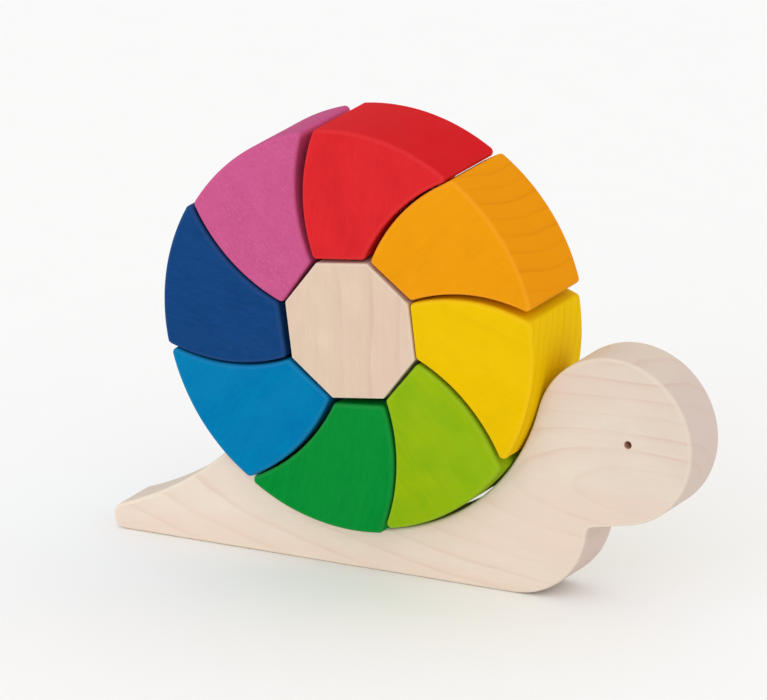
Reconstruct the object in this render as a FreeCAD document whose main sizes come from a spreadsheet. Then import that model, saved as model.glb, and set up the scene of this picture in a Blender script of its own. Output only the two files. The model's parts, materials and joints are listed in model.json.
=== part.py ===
import FreeCAD, Part
import math
import os
import Sketcher
from FreeCAD import Placement, Rotation, Vector

# Wooden stacking snail.
#
# A flat board is the snail: tail, foot, neck and round head, with a hole drilled through for the eyes.
# Its back is hollowed to a cradle. The shell stands in the cradle: eight stained blocks in a ring
# round a plain octagonal hub. The joints between the blocks are swept arcs, so the ring looks wound.
# Every block and the hub is loose and slides straight out of the ring along Y.
#
# Frame: +X from tail to head, +Z up, Y through the thickness. The origin is on the surface that the
# snail stands on, under the middle of its length and thickness. All lengths are in millimetres.

# Driving dimensions: alias, value, what it is.
DIMENSIONS = [
    ("overall_length", 248.0, "tail tip to nose"),
    ("board_thickness", 24.0, "thickness of the snail board"),
    ("head_radius", 32.8, "radius of the head"),
    ("head_height", 66.0, "height of the middle of the head and of the eye"),
    ("cradle_radius", 79.0, "radius of the hollow that the shell stands in"),
    ("cradle_height", 95.6, "height of the middle of the cradle's arc"),
    ("cradle_tip_height", 39.6, "height of the cradle's tail end, before rounding"),
    ("foot_radius", 31.5, "radius of the front of the foot"),
    ("foot_centre_x", 48.5, "where the foot's curve leaves the ground"),
    ("chin_slope", 11.0, "rise of the chin towards the nose, degrees"),
    ("notch_radius", 3.0, "rounding between chin and foot"),
    ("tail_radius", 5.3, "radius of the tail tip"),
    ("back_radius", 143.0, "radius of the hollow top of the tail"),
    ("tip_rounding", 3.0, "rounding of the cradle's tail end"),
    ("board_edge", 1.6, "rounding of the board's long edges"),
    ("eye_radius", 1.5, "radius of the drilled eye"),
    ("eye_forward", 6.4, "eye in front of the middle of the head"),
    ("shell_radius", 78.1, "outer radius of the shell"),
    ("shell_depth", 42.0, "depth of the shell blocks and the hub"),
    ("shell_back", 0.1, "shell centre towards the tail, from the cradle's"),
    ("shell_raise", 0.2, "shell centre above the cradle's"),
    ("shell_turn", 7.1, "turn of the whole shell, anticlockwise from the front, degrees"),
    ("hub_apothem", 26.5, "middle of the hub to its flats"),
    ("hub_corner", 1.2, "rounding of the hub's long edges"),
    ("hub_edge", 1.0, "rounding round the hub's two faces"),
    ("hub_clearance", 0.8, "gap between the hub and a block"),
    ("joint_gap", 1.0, "gap between two blocks, at hub and rim"),
    ("joint_lean", 18.9, "how far a joint turns from hub to rim, degrees"),
    ("convex_radius", 70.0, "radius of a block's convex side"),
    ("concave_radius", 70.6, "radius of a block's concave side"),
    ("rim_corner", 2.0, "rounding of a block's two rim corners"),
    ("inner_corner", 2.0, "rounding of a block's two hub corners"),
    ("block_edge", 1.8, "rounding round a block's two faces"),
]

BLOCK_COUNT = 8
PITCH = 360.0 / BLOCK_COUNT

# The blocks clockwise from the top, seen from the front, and how each one sits by hand in the ring:
# slip clockwise along the ring and lift away from the hub, in millimetres, then twist anticlockwise, in
# degrees.
BLOCKS = [
    ("block_red", 0.5, 1.6, -0.6),
    ("block_orange", 0.0, 2.5, 1.4),
    ("block_yellow", -1.2, 1.2, -0.4),
    ("block_lime", -1.1, 0.6, -1.5),
    ("block_green", -0.8, 0.4, -1.7),
    ("block_light_blue", 0.0, -1.5, 1.4),
    ("block_dark_blue", 0.5, 0.5, 1.7),
    ("block_pink", -0.8, 0.1, 3.0),
]
HUB_FORWARD = 1.4  # the hub against the middle of the ring, towards the head
HUB_RAISE = 1.4  # and up
BLOCK_MIDDLE = 50.0  # radius that a block twists about

CORNER_REACH = 0.5  # an edge this close to a corner of the outline is that corner's edge
SMALLEST_GAP = 0.3  # between any two pieces
NEIGHBOUR_GAP = 4.0  # pieces closer than this are neighbours

START, END, CENTRE = 1, 2, 3  # point numbers of a sketch's lines and arcs
ORIGIN = (-1, 1)  # the sketch's own origin, as geometry and point

doc = FreeCAD.newDocument("stacking_snail")


# ---------------------------------------------------------------- spreadsheet

def make_sheet():
    """The driving dimensions, one row each: what it is, and its value under an alias."""
    made = doc.addObject("Spreadsheet::Sheet", "Dimensions")
    for row, (alias, value, meaning) in enumerate(DIMENSIONS, start=1):
        made.set(f"A{row}", meaning)
        made.set(f"B{row}", str(value))
        made.setAlias(f"B{row}", alias)
    doc.recompute()
    return made


sheet = make_sheet()


def dim(alias):
    """The value of a driving dimension."""
    return float(getattr(sheet, alias))


def bound(text):
    """An expression with each alias pointed at the sheet."""
    for alias in sorted((d[0] for d in DIMENSIONS), key=len, reverse=True):
        text = text.replace(f"[{alias}]", f"<<Dimensions>>.{alias}")
    return text


# ---------------------------------------------------------------- sketch helpers

def new_body(name):
    body = doc.addObject("PartDesign::Body", name)
    body.Label = name
    return body


def front_sketch(body, name):
    """A sketch on the body's XZ plane, so that sketch x is X and sketch y is Z."""
    sketch = body.newObject("Sketcher::SketchObject", name)
    plane = [f for f in body.Origin.OriginFeatures if f.Role == "XZ_Plane"][0]
    sketch.AttachmentSupport = (plane, [""])
    sketch.MapMode = "FlatFace"
    return sketch


def add_line(sketch, start, end):
    return sketch.addGeometry(Part.LineSegment(Vector(*start, 0), Vector(*end, 0)))


def add_arc(sketch, centre, radius, from_angle, to_angle):
    """An arc that runs anticlockwise between two angles in radians."""
    circle = Part.Circle(Vector(*centre, 0), Vector(0, 0, 1), radius)
    return sketch.addGeometry(Part.ArcOfCircle(circle, from_angle, to_angle))


def join(sketch, kind, first, first_point, second, second_point):
    sketch.addConstraint(Sketcher.Constraint(kind, first, first_point, second, second_point))


def size(sketch, kind, refs, value, expression):
    """A dimension on the sketch, bound to the sheet."""
    number = sketch.addConstraint(Sketcher.Constraint(kind, *refs, value))
    sketch.setExpression(f"Constraints[{number}]", bound(expression))


def point_at(centre, radius, angle):
    return (centre[0] + radius * math.cos(angle), centre[1] + radius * math.sin(angle))


def direction(start, end):
    return math.atan2(end[1] - start[1], end[0] - start[0])


def circles_meet(first, first_radius, second, second_radius):
    """Where two circles cross, on the left of the line from the first centre to the second."""
    apart = math.dist(first, second)
    along = (apart**2 + first_radius**2 - second_radius**2) / (2 * apart)
    across = math.sqrt(first_radius**2 - along**2)
    angle = direction(first, second)
    foot = point_at(first, along, angle)
    return point_at(foot, across, angle + math.pi / 2)


def pad_both_ways(body, sketch, name, depth_expression):
    pad = body.newObject("PartDesign::Pad", name)
    pad.Profile = sketch
    pad.SideType = "Symmetric"
    pad.setExpression("Length", bound(depth_expression))
    doc.recompute()
    return pad


def edges_along_depth(shape, x, z, reach):
    """Names of the straight edges along Y that stand within reach of a point of the XZ plane."""
    found = []
    for number, edge in enumerate(shape.Edges, start=1):
        low, high = edge.BoundBox.YMin, edge.BoundBox.YMax
        thin = edge.BoundBox.XLength < 1e-3 and edge.BoundBox.ZLength < 1e-3
        middle = edge.BoundBox.Center
        if thin and high - low > 1 and math.hypot(middle.x - x, middle.z - z) < reach:
            found.append(f"Edge{number}")
    return found


def edges_of_faces(shape, depth):
    """Names of the outer edges of the two flat faces at plus and minus half the depth."""
    wires = [
        face.OuterWire
        for face in shape.Faces
        if face.BoundBox.YLength < 1e-6 and abs(abs(face.BoundBox.YMin) - depth / 2) < 1e-6
    ]
    outer = [edge for wire in wires for edge in wire.Edges]
    return [
        f"Edge{number}"
        for number, edge in enumerate(shape.Edges, start=1)
        if any(edge.isSame(other) for other in outer)
    ]


def round_edges(body, name, base, edge_names, expression):
    if not edge_names:
        raise ValueError(f"{name} found no edge to round")
    fillet = body.newObject("PartDesign::Fillet", name)
    fillet.Base = (base, edge_names)
    fillet.setExpression("Radius", bound(expression))
    doc.recompute()
    return fillet


# ---------------------------------------------------------------- places

head_centre = (dim("overall_length") / 2 - dim("head_radius"), dim("head_height"))
tail_centre = (dim("tail_radius") - dim("overall_length") / 2, dim("tail_radius"))
foot_centre = (dim("foot_centre_x"), dim("foot_radius"))


def cradle_centre():
    """The cradle's arc touches the head's circle from outside, at the nape."""
    apart = dim("cradle_radius") + dim("head_radius")
    rise = dim("cradle_height") - dim("head_height")
    return (head_centre[0] - math.sqrt(apart**2 - rise**2), dim("cradle_height"))


def shell_centre():
    centre = cradle_centre()
    return Vector(centre[0] - dim("shell_back"), 0, centre[1] + dim("shell_raise"))


# ---------------------------------------------------------------- snail board

def board_sketch(body):
    """Outline of the board: ground line, foot, chin, head, cradle, hollow back of the tail, tail tip."""
    sketch = front_sketch(body, "BoardOutline")
    cradle = cradle_centre()
    cradle_radius, head_radius = dim("cradle_radius"), dim("head_radius")
    foot_radius, tail_radius, back_radius = dim("foot_radius"), dim("tail_radius"), dim("back_radius")
    chin = math.radians(dim("chin_slope"))

    nape = direction(cradle, head_centre)
    tip_angle = -math.pi + math.asin((cradle[1] - dim("cradle_tip_height")) / cradle_radius)
    tip = point_at(cradle, cradle_radius, tip_angle)
    back_centre = circles_meet(tail_centre, back_radius + tail_radius, tip, back_radius)
    tail_top = direction(tail_centre, back_centre)
    chin_front = point_at(head_centre, head_radius, chin - math.pi / 2)
    # The notch is where the chin's line, run back from the head, meets the foot's circle.
    forward = foot_centre[0] - chin_front[0]
    drop = chin_front[1] - foot_centre[1]
    across = forward * math.sin(chin) + drop * math.cos(chin)
    notch_angle = chin + math.asin(across / foot_radius)
    notch = point_at(foot_centre, foot_radius, notch_angle)

    ground = add_line(sketch, (tail_centre[0], 0), (foot_centre[0], 0))
    foot = add_arc(sketch, foot_centre, foot_radius, -math.pi / 2, notch_angle)
    jaw = add_line(sketch, notch, chin_front)
    head = add_arc(sketch, head_centre, head_radius, chin - math.pi / 2, nape + math.pi)
    hollow = add_arc(sketch, cradle, cradle_radius, tip_angle, nape)
    back = add_arc(
        sketch, back_centre, back_radius, direction(back_centre, tail_centre), direction(back_centre, tip)
    )
    tail = add_arc(sketch, tail_centre, tail_radius, tail_top, 1.5 * math.pi)

    join(sketch, "Tangent", ground, END, foot, START)
    join(sketch, "Coincident", foot, END, jaw, START)
    join(sketch, "Tangent", jaw, END, head, START)
    join(sketch, "Tangent", head, END, hollow, END)
    join(sketch, "Coincident", hollow, START, back, END)
    join(sketch, "Tangent", back, START, tail, START)
    join(sketch, "Tangent", tail, END, ground, START)
    sketch.addConstraint(Sketcher.Constraint("Horizontal", ground))
    sketch.addConstraint(Sketcher.Constraint("PointOnObject", ground, START, -1))

    size(sketch, "Radius", (foot,), foot_radius, "[foot_radius]")
    size(sketch, "Radius", (head,), head_radius, "[head_radius]")
    size(sketch, "Radius", (hollow,), cradle_radius, "[cradle_radius]")
    size(sketch, "Radius", (back,), back_radius, "[back_radius]")
    size(sketch, "Radius", (tail,), tail_radius, "[tail_radius]")
    size(sketch, "Angle", (jaw,), chin, "[chin_slope] * 1 deg")
    size(sketch, "DistanceX", (*ORIGIN, foot, CENTRE), foot_centre[0], "[foot_centre_x]")
    size(sketch, "DistanceX", (*ORIGIN, head, CENTRE), head_centre[0], "[overall_length] / 2 - [head_radius]")
    size(sketch, "DistanceY", (*ORIGIN, head, CENTRE), head_centre[1], "[head_height]")
    size(sketch, "DistanceY", (*ORIGIN, hollow, CENTRE), cradle[1], "[cradle_height]")
    size(sketch, "DistanceY", (*ORIGIN, hollow, START), tip[1], "[cradle_tip_height]")
    size(
        sketch, "DistanceX", (tail, CENTRE, *ORIGIN), -tail_centre[0],
        "[overall_length] / 2 - [tail_radius]",
    )
    return sketch, notch, tip


def eye_pocket(body):
    sketch = front_sketch(body, "EyeCircle")
    eye = (head_centre[0] + dim("eye_forward"), head_centre[1])
    circle = sketch.addGeometry(Part.Circle(Vector(*eye, 0), Vector(0, 0, 1), dim("eye_radius")))
    size(sketch, "Radius", (circle,), dim("eye_radius"), "[eye_radius]")
    size(
        sketch, "DistanceX", (*ORIGIN, circle, CENTRE), eye[0],
        "[overall_length] / 2 - [head_radius] + [eye_forward]",
    )
    size(sketch, "DistanceY", (*ORIGIN, circle, CENTRE), eye[1], "[head_height]")
    pocket = body.newObject("PartDesign::Pocket", "EyeHole")
    pocket.Profile = sketch
    pocket.Type = "ThroughAll"
    pocket.SideType = "Symmetric"
    doc.recompute()
    return pocket


def make_board():
    body = new_body("snail_board")
    sketch, notch, tip = board_sketch(body)
    pad = pad_both_ways(body, sketch, "BoardPad", "[board_thickness]")
    notch_edges = edges_along_depth(pad.Shape, *notch, CORNER_REACH)
    inner = round_edges(body, "NotchRounding", pad, notch_edges, "[notch_radius]")
    tip_edges = edges_along_depth(inner.Shape, *tip, CORNER_REACH)
    outer = round_edges(body, "TipRounding", inner, tip_edges, "[tip_rounding]")
    rim = edges_of_faces(outer.Shape, dim("board_thickness"))
    eased = round_edges(body, "BoardEdges", outer, rim, "[board_edge]")
    drilled = eye_pocket(body)
    if drilled.Shape.Volume >= eased.Shape.Volume - 1:
        raise ValueError("the eye hole cut nothing")
    return body


# ---------------------------------------------------------------- hub

def make_hub():
    """The octagonal hub, plain wood, with one flat square to the red block."""
    body = new_body("hub_block")
    sketch = front_sketch(body, "Octagon")
    corner_radius = dim("hub_apothem") / math.cos(math.radians(PITCH / 2))
    corners = [
        point_at((0, 0), corner_radius, math.radians(PITCH * (number + 0.5)))
        for number in range(BLOCK_COUNT)
    ]
    ring = sketch.addGeometry(Part.Circle(Vector(), Vector(0, 0, 1), corner_radius), True)
    join(sketch, "Coincident", ring, CENTRE, *ORIGIN)
    flats = [
        add_line(sketch, corners[number - 1], corners[number]) for number in range(BLOCK_COUNT)
    ]
    for number, flat in enumerate(flats):
        join(sketch, "Coincident", flats[number - 1], END, flat, START)
        sketch.addConstraint(Sketcher.Constraint("PointOnObject", flat, START, ring))
        if number:
            sketch.addConstraint(Sketcher.Constraint("Equal", flats[0], flat))
    sketch.addConstraint(Sketcher.Constraint("Vertical", flats[0]))
    size(
        sketch, "Radius", (ring,), corner_radius,
        f"[hub_apothem] / cos({PITCH / 2} deg)",
    )
    pad = pad_both_ways(body, sketch, "HubPad", "[shell_depth]")
    long_edges = edges_along_depth(pad.Shape, 0, 0, 2 * corner_radius)
    eased = round_edges(body, "HubCorners", pad, long_edges, "[hub_corner]")
    faces = edges_of_faces(eased.Shape, dim("shell_depth"))
    round_edges(body, "HubEdges", eased, faces, "[hub_edge]")
    return body


# ---------------------------------------------------------------- shell blocks

def side_angles(outer, inner, radius):
    """Centre and end angles of a side's arc, whose centre lies clockwise of the block."""
    centre = circles_meet(outer, radius, inner, radius)
    return centre, direction(centre, outer), direction(centre, inner)


def block_sketch(body):
    """One block of the ring, standing on the flat above the middle of the shell."""
    sketch = front_sketch(body, "BlockOutline")
    flat = dim("hub_apothem") + dim("hub_clearance")
    half_gap = dim("joint_gap") / 2
    radius = dim("shell_radius")
    half_flat = flat * math.tan(math.radians(PITCH / 2)) - half_gap
    left_tip_x = radius * math.sin(math.radians(dim("joint_lean") - PITCH / 2)) + half_gap
    right_tip_x = radius * math.sin(math.radians(dim("joint_lean") + PITCH / 2)) - half_gap
    left_tip = (left_tip_x, math.sqrt(radius**2 - left_tip_x**2))
    right_tip = (right_tip_x, math.sqrt(radius**2 - right_tip_x**2))
    left_foot, right_foot = (-half_flat, flat), (half_flat, flat)

    inner = add_line(sketch, left_foot, right_foot)
    concave_centre, concave_from, concave_to = side_angles(right_tip, right_foot, dim("concave_radius"))
    concave = add_arc(sketch, concave_centre, dim("concave_radius"), concave_from, concave_to)
    rim = add_arc(sketch, (0, 0), radius, direction((0, 0), right_tip), direction((0, 0), left_tip))
    convex_centre, convex_from, convex_to = side_angles(left_tip, left_foot, dim("convex_radius"))
    convex = add_arc(sketch, convex_centre, dim("convex_radius"), convex_from, convex_to)

    join(sketch, "Coincident", inner, END, concave, END)
    join(sketch, "Coincident", concave, START, rim, START)
    join(sketch, "Coincident", rim, END, convex, START)
    join(sketch, "Coincident", convex, END, inner, START)
    join(sketch, "Coincident", rim, CENTRE, *ORIGIN)
    sketch.addConstraint(Sketcher.Constraint("Horizontal", inner))

    flat_text = "([hub_apothem] + [hub_clearance])"
    half_text = f"{flat_text} * tan({PITCH / 2} deg) - [joint_gap] / 2"
    lean_text = "[shell_radius] * sin([joint_lean] * 1 deg"
    size(sketch, "Radius", (rim,), radius, "[shell_radius]")
    size(sketch, "Radius", (concave,), dim("concave_radius"), "[concave_radius]")
    size(sketch, "Radius", (convex,), dim("convex_radius"), "[convex_radius]")
    size(sketch, "DistanceY", (*ORIGIN, inner, START), flat, flat_text)
    size(sketch, "DistanceX", (inner, START, *ORIGIN), half_flat, half_text)
    size(sketch, "DistanceX", (*ORIGIN, inner, END), half_flat, half_text)
    size(
        sketch, "DistanceX", (convex, START, *ORIGIN), -left_tip_x,
        f"-({lean_text} - {PITCH / 2} deg) + [joint_gap] / 2)",
    )
    size(
        sketch, "DistanceX", (*ORIGIN, concave, START), right_tip_x,
        f"{lean_text} + {PITCH / 2} deg) - [joint_gap] / 2",
    )
    return sketch, (left_tip, right_tip), (left_foot, right_foot)


def make_block(name):
    body = new_body(name)
    sketch, rim_corners, inner_corners = block_sketch(body)
    shape_feature = pad_both_ways(body, sketch, "BlockPad", "[shell_depth]")
    for label, corners, expression in (
        ("InnerCorners", inner_corners, "[inner_corner]"),
        ("RimCorners", rim_corners, "[rim_corner]"),
    ):
        names = [
            name for corner in corners
            for name in edges_along_depth(shape_feature.Shape, *corner, CORNER_REACH)
        ]
        shape_feature = round_edges(body, label, shape_feature, names, expression)
    faces = edges_of_faces(shape_feature.Shape, dim("shell_depth"))
    round_edges(body, "BlockEdges", shape_feature, faces, "[block_edge]")
    return body


def place_in_shell(body, turn_clockwise):
    """Turns a body about the shell's axis, clockwise seen from the front, and moves it to the shell."""
    turn = Placement(Vector(), Rotation(Vector(0, 1, 0), turn_clockwise))
    body.Placement = Placement(shell_centre(), Rotation()) * turn
    return body


def make_shell():
    hub = place_in_shell(make_hub(), -dim("shell_turn"))
    hub.Placement = Placement(Vector(HUB_FORWARD, 0, HUB_RAISE), Rotation()) * hub.Placement
    made = [hub]
    for number, (name, slip, lift, twist) in enumerate(BLOCKS):
        block = place_in_shell(make_block(name), PITCH * number - dim("shell_turn"))
        middle = Vector(0, 0, BLOCK_MIDDLE)
        seat = Placement(Vector(slip, 0, lift), Rotation(Vector(0, 1, 0), -twist), middle)
        block.Placement = block.Placement * seat
        made.append(block)
    return made


# ---------------------------------------------------------------- check and export

def check(parts):
    """Stops with a message if any object failed, or if a sub-part isn't one valid closed solid."""
    doc.recompute()
    for thing in doc.Objects:
        if "Invalid" in thing.State or "Error" in thing.State:
            raise RuntimeError(f"{thing.Name} failed: {thing.State}")
        if thing.TypeId == "Sketcher::SketchObject" and thing.solve() != 0:
            raise RuntimeError(f"sketch {thing.Name} doesn't solve")
    for part in parts:
        shape = part.Shape
        if shape.isNull() or not shape.isValid() or len(shape.Solids) != 1:
            raise RuntimeError(f"{part.Label} isn't one valid solid")


def gaps(parts):
    """Prints the closest approach of each pair of neighbours, and stops if two are too close."""
    for number, first in enumerate(parts):
        for second in parts[number + 1:]:
            near = first.Shape.distToShape(second.Shape)[0]
            if near < NEIGHBOUR_GAP:
                print(f"gap {first.Label} - {second.Label}: {near:.2f} mm")
            if near < SMALLEST_GAP:
                raise RuntimeError(f"{first.Label} and {second.Label} are too close")


def export(parts):
    os.makedirs("parts", exist_ok=True)
    for part in parts:
        part.Shape.exportStep(f"parts/{part.Label}.step")
        print(f"{part.Label}: {part.Shape.Volume / 1000:.1f} cm3")


sub_parts = [make_board()] + make_shell()
check(sub_parts)
export(sub_parts)
gaps(sub_parts)
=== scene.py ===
import json
import math

import bmesh
import bpy
from mathutils import Matrix, Vector, geometry, kdtree, noise


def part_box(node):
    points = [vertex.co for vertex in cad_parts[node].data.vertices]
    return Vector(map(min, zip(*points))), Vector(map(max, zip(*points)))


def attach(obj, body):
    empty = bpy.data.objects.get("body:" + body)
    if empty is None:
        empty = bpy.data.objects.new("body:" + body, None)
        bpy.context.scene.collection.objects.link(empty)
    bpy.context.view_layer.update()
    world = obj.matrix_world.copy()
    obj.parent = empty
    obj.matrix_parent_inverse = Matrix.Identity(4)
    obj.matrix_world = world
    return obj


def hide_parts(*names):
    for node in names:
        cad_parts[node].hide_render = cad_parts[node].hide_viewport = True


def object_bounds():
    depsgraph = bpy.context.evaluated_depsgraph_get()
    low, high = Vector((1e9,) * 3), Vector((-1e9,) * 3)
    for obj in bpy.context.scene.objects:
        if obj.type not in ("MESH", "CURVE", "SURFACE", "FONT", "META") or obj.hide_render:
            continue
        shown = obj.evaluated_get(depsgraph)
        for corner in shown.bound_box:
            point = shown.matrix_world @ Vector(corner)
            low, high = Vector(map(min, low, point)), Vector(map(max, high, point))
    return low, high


# The looks of the wooden stacking snail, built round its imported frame.
#
# Each piece of wood is made again as a fine, evenly meshed block with hand-sanded edges. Its outline is
# read from the frame's own node, so it stands exactly where that node does. The wood is procedural:
# growth rings round a pith line, fibres along it, end grain where the surface cuts across it.
# Lengths are in metres, except inside the wood materials, which work in millimetres.

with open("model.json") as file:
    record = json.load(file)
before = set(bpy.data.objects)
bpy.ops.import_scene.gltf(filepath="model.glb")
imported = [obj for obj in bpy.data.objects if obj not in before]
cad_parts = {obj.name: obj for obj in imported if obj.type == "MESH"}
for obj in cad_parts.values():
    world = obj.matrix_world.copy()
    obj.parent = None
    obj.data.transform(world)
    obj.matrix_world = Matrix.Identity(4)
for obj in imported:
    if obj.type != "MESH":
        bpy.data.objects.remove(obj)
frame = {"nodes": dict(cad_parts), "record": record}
cad_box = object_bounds()

MM = 0.001
LONGEST_STEP = 2.6 * MM  # between two neighbouring points of an outline, wall or face
STRAIGHT_RUN = 12 * MM  # a step this long is a straight stretch of the outline
LARGEST_TURN = math.radians(9)  # between two neighbouring steps of an outline
EDGE_STEPS = 7  # rows across a rounded edge
SANDING = 0.07 * MM  # how far hand sanding has worn the walls and faces, at most
SANDING_PATCH = 16 * MM  # size of a sanded hollow
EDGE_VARIATION = 0.14  # share by which an edge's rounding varies along it
FACE_MARGIN = 0.6  # share of the longest step that a face's inner points keep from its edge
FIRST_ROW = 0.31  # share of a row that the first row of inner points stands above the face's lowest point

WELD_DISTANCE = 1e-6  # points of a node's mesh closer than this are one point
STEEPEST_WALL = 2e-3  # a face's normal leans no more than this towards Y on a wall
LEVEL_FACE = 0.9999  # and at least this much on the front and back faces
SAME_POINT = 1e-9  # points of a flat face closer than this are one point

BORE_SPOKES = 36
BORE_RIM_STEPS = 4
BORE_WALL_STEPS = 9
EYE_RIM = 0.3 * MM  # how far the eye's rim is eased

BOARD_SEED = 3
HUB_SEED = 5
FIRST_BLOCK_SEED = 11

CAMERA_AZIMUTH = math.radians(28.11)
CAMERA_ELEVATION = math.radians(17.852)
CAMERA_ROLL = math.radians(-0.516)
CAMERA_DISTANCE = 4.0
CAMERA_LENS = 495.84
VIEW_OFFSET = Vector((-0.01189, 0, -0.00353))  # what the camera looks at, from the middle of the object

FLOOR_RADIUS = 9.0
FLOOR_SEGMENTS = 96
WORLD_STRENGTH = 0.972
LOW_LIGHT_LENGTH = 0.30
LOW_LIGHT_MIDDLE = -0.05  # towards the tail
LOW_LIGHT_HEIGHT = 0.03
LOW_LIGHT_DISTANCE = 0.09  # from the front of the shell
LOW_LIGHT_POWER = 0.0416


# ---------------------------------------------------------------- outlines read from the frame

def seam_loop(node):
    """The node's outline in XZ where its walls meet the front edge rounding, and that seam's depth."""
    mesh = bmesh.new()
    mesh.from_mesh(frame["nodes"][node].data)
    bmesh.ops.remove_doubles(mesh, verts=mesh.verts, dist=WELD_DISTANCE)

    def kind(face):
        tilt = abs(face.normal.y)
        return "wall" if tilt < STEEPEST_WALL else "flat" if tilt > LEVEL_FACE else "rounding"

    following = {}
    for edge in mesh.edges:
        kinds = sorted(kind(face) for face in edge.link_faces)
        if kinds == ["rounding", "wall"] and edge.verts[0].co.y < 0:
            first, second = edge.verts
            following.setdefault(first, []).append(second)
            following.setdefault(second, []).append(first)
    start = next(iter(following))
    depth = abs(start.co.y)
    loop, previous, current = [start], None, start
    while True:
        step = next(vert for vert in following[current] if vert is not previous)
        if step is start:
            break
        loop.append(step)
        previous, current = current, step
    points = [Vector((vert.co.x, vert.co.z)) for vert in loop]
    mesh.free()
    return points, depth


def anticlockwise(points):
    area = sum(a.x * b.y - b.x * a.y for a, b in zip(points, points[1:] + points[:1]))
    return points if area > 0 else points[::-1]


def curve_point(p0, p1, p2, p3, share):
    """A point of the centripetal Catmull-Rom curve between p1 and p2."""
    t0 = 0.0
    t1 = t0 + math.sqrt((p1 - p0).length)
    t2 = t1 + math.sqrt((p2 - p1).length)
    t3 = t2 + math.sqrt((p3 - p2).length)
    t = t1 + (t2 - t1) * share

    def between(a, b, ta, tb):
        return a * ((tb - t) / (tb - ta)) + b * ((t - ta) / (tb - ta))

    a1, a2, a3 = between(p0, p1, t0, t1), between(p1, p2, t1, t2), between(p2, p3, t2, t3)
    return between(between(a1, a2, t0, t2), between(a2, a3, t1, t3), t1, t2)


def split_straights(points):
    """The outline with the straight stretches already in short steps, so that no curve bulges there."""
    found = []
    for start, end in zip(points, points[1:] + points[:1]):
        length = (end - start).length
        steps = math.ceil(length / LONGEST_STEP) if length > STRAIGHT_RUN else 1
        found += [start.lerp(end, step / steps) for step in range(steps)]
    return found


def smooth_loop(points):
    """The outline with enough points that no step is long and no turn is sharp."""
    points = split_straights(points)
    count = len(points)
    finer = []
    for number in range(count):
        p0, p1, p2, p3 = (points[(number + k) % count] for k in (-1, 0, 1, 2))
        turn = max((p1 - p0).angle(p2 - p1), (p2 - p1).angle(p3 - p2))
        steps = max(math.ceil((p2 - p1).length / LONGEST_STEP), math.ceil(turn / LARGEST_TURN), 1)
        finer += [curve_point(p0, p1, p2, p3, step / steps) for step in range(steps)]
    return finer


def outward_normals(points):
    count = len(points)
    normals = []
    for number in range(count):
        before, here, after = (points[(number + k) % count] for k in (-1, 0, 1))
        along = (here - before).normalized() + (after - here).normalized()
        normals.append(Vector((along.y, -along.x)).normalized())
    return normals


# ---------------------------------------------------------------- sanded wooden pieces

def worn(place, seed, most):
    """Depth of hand sanding at a place: smooth, from 0 to most."""
    return most * (0.5 + 0.5 * noise.noise(place / SANDING_PATCH + Vector((seed, 0, 0))))


def ring_edges(start, count):
    return [(start + k, start + (k + 1) % count) for k in range(count)]


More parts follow.
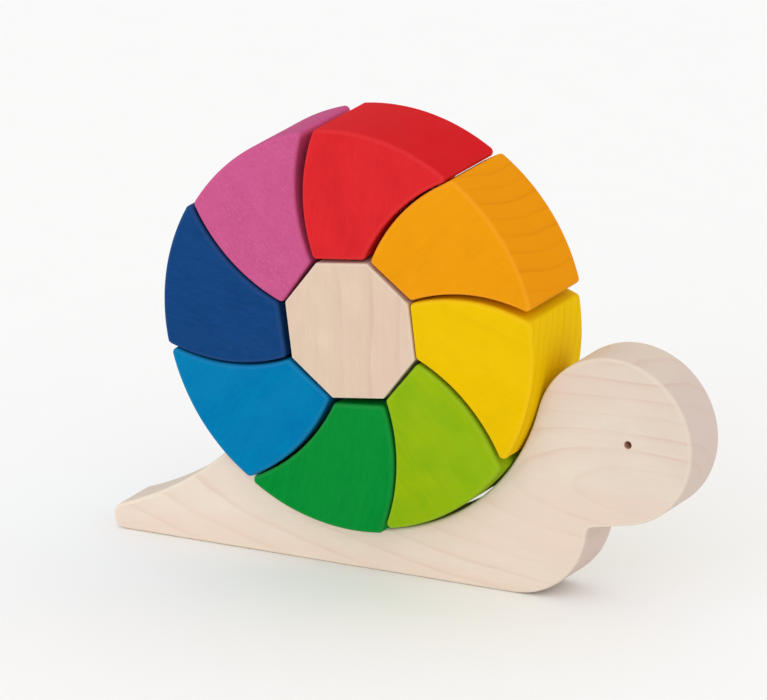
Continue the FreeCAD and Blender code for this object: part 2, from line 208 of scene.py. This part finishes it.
class SandedPiece:
    """A piece of board with rounded edges: walls round an outline, two flat faces, and maybe a bore."""

    def __init__(self, name, node, local, seed):
        self.name, self.local, self.seed = name, local, seed
        seam, seam_depth = seam_loop(node)
        low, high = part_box(node)
        self.half_depth = (high.y - low.y) / 2
        self.edge = self.half_depth - seam_depth
        inverse = local.inverted()
        flat = [inverse @ Vector((p.x, 0, p.y)) for p in seam]
        self.outline = smooth_loop(anticlockwise([Vector((p.x, p.z)) for p in flat]))
        self.normals = outward_normals(self.outline)
        self.verts, self.faces, self.rounding, self.bore = [], [], [], []

    def add_vert(self, place, rounding=0.0, bore=0.0):
        self.verts.append(place)
        self.rounding.append(rounding)
        self.bore.append(bore)
        return len(self.verts) - 1

    def edge_radius(self, number, side):
        point = self.outline[number]
        place = Vector((point.x, side * self.half_depth, point.y))
        return self.edge * (1 - worn(place, self.seed + 7, EDGE_VARIATION))

    def rows(self, number):
        """Inset, depth and rounding of one cross-section of the wall, from the front face to the back."""
        half = self.half_depth
        front, back = self.edge_radius(number, -1), self.edge_radius(number, 1)
        quarter = [math.pi / 2 * step / EDGE_STEPS for step in range(EDGE_STEPS + 1)]
        found = [
            (front * (1 - math.sin(t)), -half + front * (1 - math.cos(t)), math.sin(2 * t))
            for t in quarter
        ]
        walls = math.ceil(2 * (half - self.edge) / LONGEST_STEP)
        start, end = -half + front, half - back
        found += [(0, start + (end - start) * step / walls, 0) for step in range(1, walls)]
        found += [
            (back * (1 - math.cos(t)), half - back * (1 - math.sin(t)), math.sin(2 * t))
            for t in quarter
        ]
        return found

    def make_walls(self):
        columns = []
        for number, (point, normal) in enumerate(zip(self.outline, self.normals)):
            column = []
            for inset, depth, rounding in self.rows(number):
                inset += worn(Vector((point.x, depth, point.y)), self.seed, SANDING)
                spot = point - normal * inset
                column.append(self.add_vert(Vector((spot.x, depth, spot.y)), rounding))
            columns.append(column)
        for column, after in zip(columns, columns[1:] + columns[:1]):
            for row in range(len(column) - 1):
                self.faces.append((column[row], after[row], after[row + 1], column[row + 1]))
        return [c[0] for c in columns], [c[-1] for c in columns]

    def make_bore_rim(self, side, centre, radius, rim):
        """The eased rim of a bore in one face, from the face down to the bore's wall."""
        rings = []
        for step in range(BORE_RIM_STEPS + 1):
            t = math.pi / 2 * step / BORE_RIM_STEPS
            reach = radius + rim * (1 - math.sin(t))
            depth = side * (self.half_depth - rim * (1 - math.cos(t)))
            ring = []
            for spoke in range(BORE_SPOKES):
                angle = 2 * math.pi * spoke / BORE_SPOKES
                across, up = reach * math.cos(angle), reach * math.sin(angle)
                place = Vector((centre.x + across, depth, centre.y + up))
                ring.append(self.add_vert(place, 0.5 * math.sin(2 * t), step / BORE_RIM_STEPS))
            rings.append(ring)
        self.bridge(rings)
        return rings[0], rings[-1]

    def make_bore_wall(self, front_ring, back_ring):
        rings = [front_ring]
        for step in range(1, BORE_WALL_STEPS):
            ring = []
            for a, b in zip(front_ring, back_ring):
                place = self.verts[a].lerp(self.verts[b], step / BORE_WALL_STEPS)
                ring.append(self.add_vert(place, 0, 1))
            rings.append(ring)
        self.bridge(rings + [back_ring])

    def bridge(self, rings):
        for ring, deeper in zip(rings, rings[1:]):
            for a, b, c, d in zip(ring, ring[1:] + ring[:1], deeper[1:] + deeper[:1], deeper):
                self.faces.append((a, b, c, d))

    def make_face(self, loop, side, holes):
        """One flat face: even triangles inside its loop, clear of the bores."""
        corners = [Vector((self.verts[i].x, self.verts[i].z)) for i in loop]
        rims = [[Vector((self.verts[i].x, self.verts[i].z)) for i in rim] for rim, _, _ in holes]
        near = kdtree.KDTree(len(corners) + sum(len(rim) for rim in rims))
        for number, corner in enumerate(corners + [p for rim in rims for p in rim]):
            near.insert((corner.x, corner.y, 0), number)
        near.balance()
        inside = [
            point for point in self.grid(corners)
            if near.find((point.x, point.y, 0))[2] > FACE_MARGIN * LONGEST_STEP
            and all((point - centre).length > radius for _, centre, radius in holes)
        ]
        points, edges, known = list(corners), ring_edges(0, len(corners)), list(loop)
        for (rim, _, _), rim_points in zip(holes, rims):
            edges += ring_edges(len(points), len(rim_points))
            points += rim_points
            known += rim
        whole = [list(range(len(corners)))]
        result = geometry.delaunay_2d_cdt(points + inside, edges, whole, 1, SAME_POINT)
        places, triangles, origins = result[0], result[2], result[3]
        index = []
        for place, origin in zip(places, origins):
            old = [known[i] for i in origin if i < len(known)]
            if old:
                index.append(old[0])
            else:
                depth = worn(Vector((place.x, side * self.half_depth, place.y)), self.seed, SANDING)
                index.append(self.add_vert(Vector((place.x, side * (self.half_depth - depth), place.y))))
        for triangle in triangles:
            middle = sum((places[i] for i in triangle), Vector((0, 0))) / 3
            if all((middle - centre).length > radius for _, centre, radius in holes):
                self.faces.append(tuple(index[i] for i in triangle))

    def grid(self, corners):
        """Points of an even triangular grid inside the outline."""
        low = Vector((min(p.x for p in corners), min(p.y for p in corners)))
        high = Vector((max(p.x for p in corners), max(p.y for p in corners)))
        rise = LONGEST_STEP * math.sqrt(3) / 2
        found = []
        for row in range(int((high.y - low.y) / rise) + 1):
            level = low.y + row * rise + FIRST_ROW * rise
            crossings = sorted(
                a.x + (b.x - a.x) * (level - a.y) / (b.y - a.y)
                for a, b in zip(corners, corners[1:] + corners[:1])
                if (a.y > level) != (b.y > level)
            )
            for left, right in zip(crossings[::2], crossings[1::2]):
                first = math.ceil((left - low.x) / LONGEST_STEP - (row % 2) / 2)
                last = math.floor((right - low.x) / LONGEST_STEP - (row % 2) / 2)
                found += [
                    Vector((low.x + (k + (row % 2) / 2) * LONGEST_STEP, level))
                    for k in range(first, last + 1)
                ]
        return found

    def make_object(self, bore=None):
        """The finished object. The bore is its centre in the outline's plane, its radius and its rim."""
        front, back = self.make_walls()
        front_holes, back_holes = [], []
        if bore:
            centre, radius, rim = bore
            front_top, front_wall = self.make_bore_rim(-1, centre, radius, rim)
            back_top, back_wall = self.make_bore_rim(1, centre, radius, rim)
            self.make_bore_wall(front_wall, back_wall)
            front_holes = [(front_top, centre, radius + 0.999 * rim)]
            back_holes = [(back_top, centre, radius + 0.999 * rim)]
        self.make_face(front, -1, front_holes)
        self.make_face(back, 1, back_holes)
        mesh = bpy.data.meshes.new(self.name)
        mesh.from_pydata([tuple(v) for v in self.verts], [], self.faces)
        for title, values in (("rounding", self.rounding), ("bore", self.bore)):
            mesh.attributes.new(title, "FLOAT", "POINT").data.foreach_set("value", values)
        tidy = bmesh.new()
        tidy.from_mesh(mesh)
        bmesh.ops.recalc_face_normals(tidy, faces=tidy.faces)
        tidy.to_mesh(mesh)
        tidy.free()
        mesh.shade_smooth()
        mesh.transform(self.local)
        made = bpy.data.objects.new(self.name, mesh)
        bpy.context.scene.collection.objects.link(made)
        weighted = made.modifiers.new("face_normals", "WEIGHTED_NORMAL")
        weighted.weight = 60
        return made


# ---------------------------------------------------------------- wood

def linear(red, green, blue):
    """A colour given as it looks on a screen, 0 to 255, as the linear colour that shaders take."""
    def channel(value):
        value /= 255
        return value / 12.92 if value <= 0.04045 else ((value + 0.055) / 1.055) ** 2.4
    return tuple(channel(value) for value in (red, green, blue))


def shifted(colour, gain, pale=0.0):
    """The colour made stronger or weaker, and then mixed with white."""
    return tuple(min(c * gain * (1 - pale) + pale, 1) for c in colour)


class Graph:
    """A material's node tree, one call for each node."""

    def __init__(self, name):
        self.material = bpy.data.materials.new(name)
        self.material.use_nodes = True
        self.tree = self.material.node_tree
        self.tree.nodes.clear()

    def node(self, kind, inputs=None, **settings):
        made = self.tree.nodes.new(kind)
        for key, value in settings.items():
            setattr(made, key, value)
        for key, value in (inputs or {}).items():
            if isinstance(value, bpy.types.NodeSocket):
                self.tree.links.new(value, made.inputs[key])
            else:
                made.inputs[key].default_value = value
        return made

    def math(self, operation, first, second=0.0, third=0.0):
        inputs = {0: first, 1: second, 2: third}
        return self.node("ShaderNodeMath", inputs, operation=operation).outputs[0]

    def vector(self, operation, first, second=(0, 0, 0), output=0, scale=None):
        inputs = {0: first, 1: second} if scale is None else {0: first, "Scale": scale}
        return self.node("ShaderNodeVectorMath", inputs, operation=operation).outputs[output]

    def into_frame(self, vector, origin, turn, unit):
        """A vector as seen from a frame with that origin and turn, counted in that unit."""
        inputs = {"Vector": vector, "Location": origin, "Rotation": turn, "Scale": (unit, unit, unit)}
        return self.node("ShaderNodeMapping", inputs, vector_type="TEXTURE").outputs["Vector"]

    def noise(self, place, scale, detail=2.0, roughness=0.5):
        inputs = {"Vector": place, "Scale": scale, "Detail": detail, "Roughness": roughness}
        return self.node("ShaderNodeTexNoise", inputs).outputs["Fac"]

    def spread(self, value, low, high):
        """The value from low to high, as 0 to 1, with soft ends."""
        inputs = {"Value": value, "From Min": low, "From Max": high}
        made = self.node("ShaderNodeMapRange", inputs, interpolation_type="SMOOTHSTEP")
        return made.outputs["Result"]

    def ramp(self, value, stops):
        """A curve through the stops, each a place and a grey level."""
        made = self.node("ShaderNodeValToRGB", {"Fac": value})
        ramp = made.color_ramp
        ramp.interpolation = "EASE"
        while len(ramp.elements) < len(stops):
            ramp.elements.new(0.5)
        for element, (place, level) in zip(ramp.elements, stops):
            element.position = place
            element.color = (level, level, level, 1)
        return made.outputs["Color"]

    def mix(self, share, first, second):
        made = self.node("ShaderNodeMix", data_type="RGBA")
        for number, value in ((0, share), (6, first), (7, second)):
            if isinstance(value, bpy.types.NodeSocket):
                self.tree.links.new(value, made.inputs[number])
            else:
                made.inputs[number].default_value = value if number == 0 else (*value, 1)
        return made.outputs[2]

    def attribute(self, name):
        return self.node("ShaderNodeAttribute", attribute_name=name).outputs["Fac"]


# One year across: pale early wood, then a dark line that ends it.
YEAR_PROFILE = [(0.0, 0.0), (0.5, 0.06), (0.72, 0.22), (0.93, 1.0), (1.0, 0.0)]
FAINTEST_YEAR = 0.3  # the least marked year, as a share of the most marked
HEART_START, HEART_END = 3.0, 7.0  # the rings fade away between these distances from the pith, in mm
END_GRAIN_START, END_GRAIN_FULL = 0.35, 0.85  # of the cosine between the surface's normal and the fibres
FAINTEST_RING = 0.3  # where a ring fades along its length, the share that is left of it
BORE_TINT_SHARE = 0.75  # how much of the darker brown bore tint covers a bore's wall


def growth_rings(g, place, shifted_place, along, look):
    """How dark the growth ring is at a place, and the place's distance from the pith line in millimetres.

    The distance is bent a little, so that no ring is a true circle. Some years are marked more than others.
    """
    drawn_out = tuple(1 - 0.6 * abs(c) for c in along)
    bend_place = g.vector("MULTIPLY", shifted_place, drawn_out)
    bend = g.node("ShaderNodeTexNoise", {"Vector": bend_place, "Scale": 0.05, "Detail": 1.5}).outputs["Color"]
    bend = g.vector("SCALE", g.vector("SUBTRACT", bend, (0.5, 0.5, 0.5)), scale=look["wander"])
    from_pith = g.vector("SUBTRACT", g.vector("ADD", place, bend), look["pith"])
    across = g.vector("CROSS_PRODUCT", from_pith, tuple(along))
    distance = g.vector("LENGTH", across, output=1)
    years = g.math("DIVIDE", distance, look["year"])
    years = g.math("ADD", years, look["first_year"])
    ring = g.ramp(g.math("FRACT", years), YEAR_PROFILE)
    marked = g.node("ShaderNodeTexWhiteNoise", {"W": g.math("FLOOR", years)}, noise_dimensions="1D")
    strength = g.math("MULTIPLY_ADD", marked.outputs["Value"], 1 - FAINTEST_YEAR, FAINTEST_YEAR)
    return g.math("MULTIPLY", ring, strength), distance


def wood(name, look, local, seed):
    """A piece's own wood. The look says its colours, how the log lay in it and how strong each mark is."""
    g = Graph(name)
    coordinates = g.node("ShaderNodeTexCoord")
    turn = tuple(local.to_euler())
    place = g.into_frame(coordinates.outputs["Object"], tuple(local.translation), turn, MM)
    shifted_place = g.vector("ADD", place, (seed * 131.0, seed * 57.0, seed * 211.0))
    along = Vector(look["fibre"]).normalized()
    ring, distance = growth_rings(g, place, shifted_place, along, look)

    # Fibres: noise drawn out along the pith line.
    stretch = tuple(1 - (1 - look["fibre_length"]) * abs(c) for c in along)
    fibre_place = g.vector("MULTIPLY", shifted_place, stretch)
    fibre = g.noise(fibre_place, look["fibre_scale"], 3.0, 0.62)
    coarse = g.noise(fibre_place, 0.42 * look["fibre_scale"], 2.0, 0.5)
    pores = g.spread(g.noise(fibre_place, 1.9 * look["fibre_scale"], 1.0), 0.69, 0.8)
    mottle = g.noise(shifted_place, look["mottle_scale"], 3.0, 0.55)
    flecks = g.spread(g.noise(fibre_place, 0.8 * look["fibre_scale"], 2.0, 0.7), 0.56, 0.72)

    # Where the surface cuts across the fibres the wood drinks more stain.
    facing = g.into_frame(coordinates.outputs["Normal"], (0, 0, 0), turn, 1)
    cut = g.math("ABSOLUTE", g.vector("DOT_PRODUCT", facing, tuple(along), output=1))
    end_grain = g.spread(cut, END_GRAIN_START, END_GRAIN_FULL)
    rounding = g.attribute("rounding")
    bore = g.attribute("bore")

    # The colour, from the fibres up: blush, end grain, rings, the paler edges (stain worn thinner, plus a
    # painted highlight on the rounding) and the darker brown bore.
    def weighed(value, weight):
        return g.math("MULTIPLY", g.math("SUBTRACT", value, 0.5), weight)

    tone = g.math("ADD", weighed(fibre, look["fibre_mark"]), weighed(coarse, 0.7 * look["fibre_mark"]))
    tone = g.math("ADD", tone, weighed(mottle, look["mottle"]))
    tone = g.math("MULTIPLY_ADD", pores, -look["pores"], tone)
    tone = g.math("MULTIPLY_ADD", flecks, look["flecks"], tone)
    tone = g.math("ADD", tone, 0.5)
    colour = g.mix(tone, look["deep"], look["light"])
    blush = g.spread(g.noise(fibre_place, 0.07, 2.0), 0.4, 0.66)
    colour = g.mix(g.math("MULTIPLY", blush, look["blush_mark"]), colour, look["blush"])
    heartwood = g.spread(distance, HEART_START, HEART_END)
    ring_share = g.math("MULTIPLY", g.math("MULTIPLY", ring, heartwood), look["ring_mark"])
    ring_fade = g.spread(g.noise(shifted_place, 0.035, 1.0), 0.3, 0.7)
    ring_left = g.math("MULTIPLY_ADD", ring_fade, 1 - FAINTEST_RING, FAINTEST_RING)
    ring_share = g.math("MULTIPLY", ring_share, ring_left)
    ring_share = g.math("MULTIPLY", ring_share, g.math("MULTIPLY_ADD", end_grain, look["end_ring"], 1.0))
    end_share = g.math("MULTIPLY", end_grain, g.math("MULTIPLY_ADD", mottle, 0.5, look["end_mark"] - 0.25))
    end_share = g.math("MINIMUM", end_share, 1.0)
    colour = g.mix(end_share, colour, look["end"])
    colour = g.mix(ring_share, colour, look["ring"])
    # Rounded edges turn paler: the stain is worn thinner there, and a painted highlight stands in for the
    # light that the rounding catches.
    edge_wear_and_highlight_share = g.math("MULTIPLY", rounding, g.math("MULTIPLY_ADD", fibre, 0.5, look["edge_mark"] - 0.25))
    colour = g.mix(edge_wear_and_highlight_share, colour, look["edge"])
    # The bore's wall is mixed toward a darker brown tint.
    colour = g.mix(g.math("MULTIPLY", bore, BORE_TINT_SHARE), colour, look["bore_tint"])

    # The surface: rougher and higher where the fibres and rings stand out.
    rough = g.math("MULTIPLY_ADD", fibre, 0.16, look["roughness"] - 0.08)
    rough = g.math("MULTIPLY_ADD", mottle, 0.08, g.math("SUBTRACT", rough, 0.04))
    relief = g.math("MULTIPLY_ADD", ring, 0.4, g.math("ADD", fibre, coarse))
    relief = g.math("MULTIPLY_ADD", pores, -0.8, relief)
    bump = g.node("ShaderNodeBump", {"Height": relief, "Strength": look["relief"], "Distance": 0.06 * MM})
    shader = g.node(
        "ShaderNodeBsdfPrincipled",
        {
            "Base Color": colour,
            "Roughness": rough,
            "Normal": bump.outputs["Normal"],
            "Specular IOR Level": look["specular"],
        },
    )
    g.node("ShaderNodeOutputMaterial", {"Surface": shader.outputs["BSDF"]})
    return g.material


STAINED = {
    "fibre": (0, 0, 1),
    "pith": (70.0, 30.0, 0.0),
    "year": 4.6,
    "wander": 9.0,
    "first_year": 0.0,
    "blush_mark": 0.35,
    "fibre_length": 0.11,
    "fibre_scale": 1.15,
    "fibre_mark": 0.6,
    "mottle_scale": 0.09,
    "mottle": 0.5,
    "pores": 0.25,
    "flecks": 0.0,
    "ring_mark": 0.12,
    "end_ring": 2.4,
    "end_mark": 0.8,
    # how strongly rounded edges turn pale: worn stain plus a painted highlight
    "edge_mark": 0.55,
    "roughness": 0.62,
    "specular": 0.02,
    "relief": 0.5,
    # darker brown tint for a bore's wall
    "bore_tint": (0.05, 0.02, 0.01),
}


def stained(colour, **changes):
    """A stained wood: the colour of the front, and what differs from the usual block."""
    return {
        **STAINED,
        "deep": shifted(colour, 0.845),
        "light": shifted(colour, 1.16),
        "blush": shifted(colour, 1.07, 0.004),
        "ring": shifted(colour, 0.7),
        "end": shifted(colour, 0.88),
        # the paler edge colour: worn stain plus a painted highlight
        "edge": shifted(colour, 1.12, 0.02),
        **changes,
    }


STAINS = {
    "red": stained(
        linear(217, 40, 45), pith=(26, 90, 0), fibre_scale=1.5, fibre_mark=0.65, mottle=0.8, end_mark=0.65,
        end=linear(209, 18, 26),
    ),
    "orange": stained(
        linear(235, 154, 12), pith=(-95, 16, 0), year=7.0, wander=3.0, fibre_mark=0.25, mottle=0.35,
        end_ring=2.1,
        end=linear(238, 150, 6), ring=linear(212, 112, 0),
    ),
    "yellow": stained(
        linear(234, 191, 2), pith=(12, 130, 0), year=5.0, wander=6.0, fibre_mark=0.3, edge_mark=0.35,
        end_ring=4.5,
        end=linear(243, 198, 2), ring=linear(196, 146, 0),
    ),
    "lime": stained(
        linear(144, 181, 16), pith=(-30, 80, 0), fibre_mark=0.45, mottle=1.3, mottle_scale=0.06,
        deep=linear(120, 169, 18), light=linear(166, 190, 10),
    ),
    "green": stained(
        linear(4, 138, 51), pith=(60, 66, 0), fibre_scale=1.8, fibre_length=0.14, fibre_mark=1.4,
        flecks=0.2,
    ),
    "light_blue": stained(
        linear(2, 122, 176), pith=(-50, -70, 0), fibre_scale=1.7, fibre_length=0.25, fibre_mark=0.7,
        mottle=0.9,
        deep=linear(0, 109, 171), light=linear(0, 136, 182),
    ),
    "dark_blue": stained(
        linear(20, 66, 122), pith=(46, -60, 0), fibre_scale=2.0, fibre_length=0.16, fibre_mark=1.3,
        flecks=0.7,
    ),
    "pink": stained(
        linear(197, 83, 135), pith=(-20, -80, 0), fibre_scale=2.0, fibre_length=0.35, fibre_mark=0.8,
        flecks=1.1, light=shifted(linear(200, 85, 138), 1.15, 0.025),
    ),
}

NATURAL = {
    **STAINED,
    "deep": linear(210, 194, 178),
    "light": linear(229, 216, 201),
    "blush": linear(222, 200, 186),
    "ring": linear(206, 170, 152),
    "end": linear(216, 196, 188),
    # the paler edge colour: worn stain plus a painted highlight
    "edge": linear(234, 222, 202),
    # darker brown tint for a bore's wall
    "bore_tint": linear(200, 150, 122),
    "blush_mark": 0.6,
    "pores": 0.12,
    "end_mark": 0.7,
    "roughness": 0.66,
}

BOARD_WOOD = {
    **NATURAL,
    "fibre": (1, -0.274, 0),
    "pith": (110.0, -12.0, 48.0),
    "year": 6.8,
    "first_year": 0.567,
    "wander": 3.5,
    "ring_mark": 0.48,
    "end_ring": -0.45,
    "fibre_mark": 0.4,
    "mottle_scale": 0.05,
}

HUB_WOOD = {
    **NATURAL,
    "fibre": (0, 0, 1),
    "pith": (-40, 60, 0),
    "year": 7.0,
    "first_year": 0.35,
    "ring_mark": 0.45,
    "fibre_mark": 0.5,
    "deep": linear(212, 187, 164),
    "light": linear(234, 211, 190),
    "blush": linear(227, 197, 181),
}


# ---------------------------------------------------------------- the snail

def axes(origin, across, up):
    """A frame of its own for a piece: X across, Z up, Y through the thickness."""
    depth = up.cross(across)
    return Matrix.Translation(origin) @ Matrix((across, depth, up)).transposed().to_4x4()


def middle_of(node):
    low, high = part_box(node)
    return (low + high) / 2


def finish_piece(made, node, look, local, seed):
    made.data.materials.append(wood(made.name + "_wood", look, local, seed))
    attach(made, node)
    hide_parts(node)


def make_board():
    eye = next(m for m in frame["record"]["mounts"] if m["name"] == "eye_hole")
    centre = Vector((eye["pos_m"][0], eye["pos_m"][2]))
    local = Matrix.Identity(4)
    piece = SandedPiece("snail", "snail_board", local, BOARD_SEED)
    made = piece.make_object(bore=(centre, eye["dims"]["r_mm"] * MM, EYE_RIM))
    finish_piece(made, "snail_board", BOARD_WOOD, local, BOARD_SEED)
    return made


def make_hub():
    local = axes(middle_of("hub_block"), Vector((1, 0, 0)), Vector((0, 0, 1)))
    made = SandedPiece("hub", "hub_block", local, HUB_SEED).make_object()
    finish_piece(made, "hub_block", HUB_WOOD, local, HUB_SEED)


def make_shell_block(stain, look, seed):
    node = "block_" + stain
    middle = middle_of(node)
    up = (middle - middle_of("hub_block")).normalized()
    across = Vector((0, 1, 0)).cross(up)
    local = axes(middle, across, up)
    made = SandedPiece("shell_" + stain, node, local, seed).make_object()
    finish_piece(made, node, look, local, seed)


board = make_board()
make_hub()
for number, (stain, look) in enumerate(STAINS.items()):
    make_shell_block(stain, look, FIRST_BLOCK_SEED + number)


# ---------------------------------------------------------------- camera, floor and light

def make_camera():
    low, high = cad_box
    sine, cosine = math.sin(CAMERA_AZIMUTH), math.cos(CAMERA_AZIMUTH)
    rise, reach = math.sin(CAMERA_ELEVATION), math.cos(CAMERA_ELEVATION)
    back = Vector((sine * reach, -cosine * reach, rise))
    level = Vector((cosine, sine, 0))
    upright = back.cross(level)
    right = level * math.cos(CAMERA_ROLL) + upright * math.sin(CAMERA_ROLL)
    up = upright * math.cos(CAMERA_ROLL) - level * math.sin(CAMERA_ROLL)
    data = bpy.data.cameras.new("camera")
    data.lens = CAMERA_LENS
    data.clip_end = 100
    camera = bpy.data.objects.new("camera", data)
    place = (low + high) / 2 + VIEW_OFFSET + back * CAMERA_DISTANCE
    camera.matrix_world = Matrix.Translation(place) @ Matrix((right, up, back)).transposed().to_4x4()
    bpy.context.scene.collection.objects.link(camera)
    bpy.context.scene.camera = camera


def make_floor():
    """A round pale floor, level with the underside of the board."""
    mesh = bmesh.new()
    bmesh.ops.create_circle(mesh, cap_ends=True, segments=FLOOR_SEGMENTS, radius=FLOOR_RADIUS)
    data = bpy.data.meshes.new("floor")
    mesh.to_mesh(data)
    mesh.free()
    floor = bpy.data.objects.new("floor", data)
    floor.location.z = cad_box[0].z
    bpy.context.scene.collection.objects.link(floor)
    g = Graph("floor_paper")
    place = g.node("ShaderNodeTexCoord").outputs["Object"]
    tone = g.mix(g.noise(place, 40.0, 3.0), (0.965, 0.965, 0.96), (0.98, 0.98, 0.978))
    inputs = {"Base Color": tone, "Roughness": 0.9, "Specular IOR Level": 0.1}
    shader = g.node("ShaderNodeBsdfPrincipled", inputs)
    g.node("ShaderNodeOutputMaterial", {"Surface": shader.outputs["BSDF"]})
    data.materials.append(g.material)


def make_light(name, azimuth, elevation, distance, size, power):
    """A square soft box that faces the middle of the object."""
    a, e = math.radians(azimuth), math.radians(elevation)
    back = Vector((math.sin(a) * math.cos(e), -math.cos(a) * math.cos(e), math.sin(e)))
    data = bpy.data.lights.new(name, "AREA")
    data.shape = "SQUARE"
    data.size = size
    data.energy = power
    light = bpy.data.objects.new(name, data)
    light.location = (cad_box[0] + cad_box[1]) / 2 + back * distance
    light.rotation_euler = back.to_track_quat("Z", "Y").to_euler()
    bpy.context.scene.collection.objects.link(light)


def make_low_light(lit):
    """A long low light close in front, which lights only one piece. The camera doesn't see it."""
    data = bpy.data.lights.new("low_front", "AREA")
    data.shape = "RECTANGLE"
    data.size, data.size_y = LOW_LIGHT_LENGTH, LOW_LIGHT_HEIGHT
    data.energy = LOW_LIGHT_POWER
    light = bpy.data.objects.new("low_front", data)
    height = cad_box[0].z + LOW_LIGHT_HEIGHT / 2
    light.location = (LOW_LIGHT_MIDDLE, cad_box[0].y - LOW_LIGHT_DISTANCE, height)
    light.rotation_euler = (math.pi / 2, 0, 0)
    light.visible_camera = False
    light.light_linking.receiver_collection = bpy.data.collections.new("lit_low")
    light.light_linking.receiver_collection.objects.link(lit)
    bpy.context.scene.collection.objects.link(light)


def make_world(strength):
    world = bpy.data.worlds.new("studio")
    world.use_nodes = True
    background = world.node_tree.nodes["Background"]
    background.inputs["Color"].default_value = (1, 1, 1, 1)
    background.inputs["Strength"].default_value = strength
    bpy.context.scene.world = world


make_camera()
make_floor()
make_light("key", azimuth=-14, elevation=12, distance=1.7, size=0.9, power=2.6)
make_low_light(board)
make_world(WORLD_STRENGTH)
bpy.context.scene.view_settings.view_transform = "Standard"
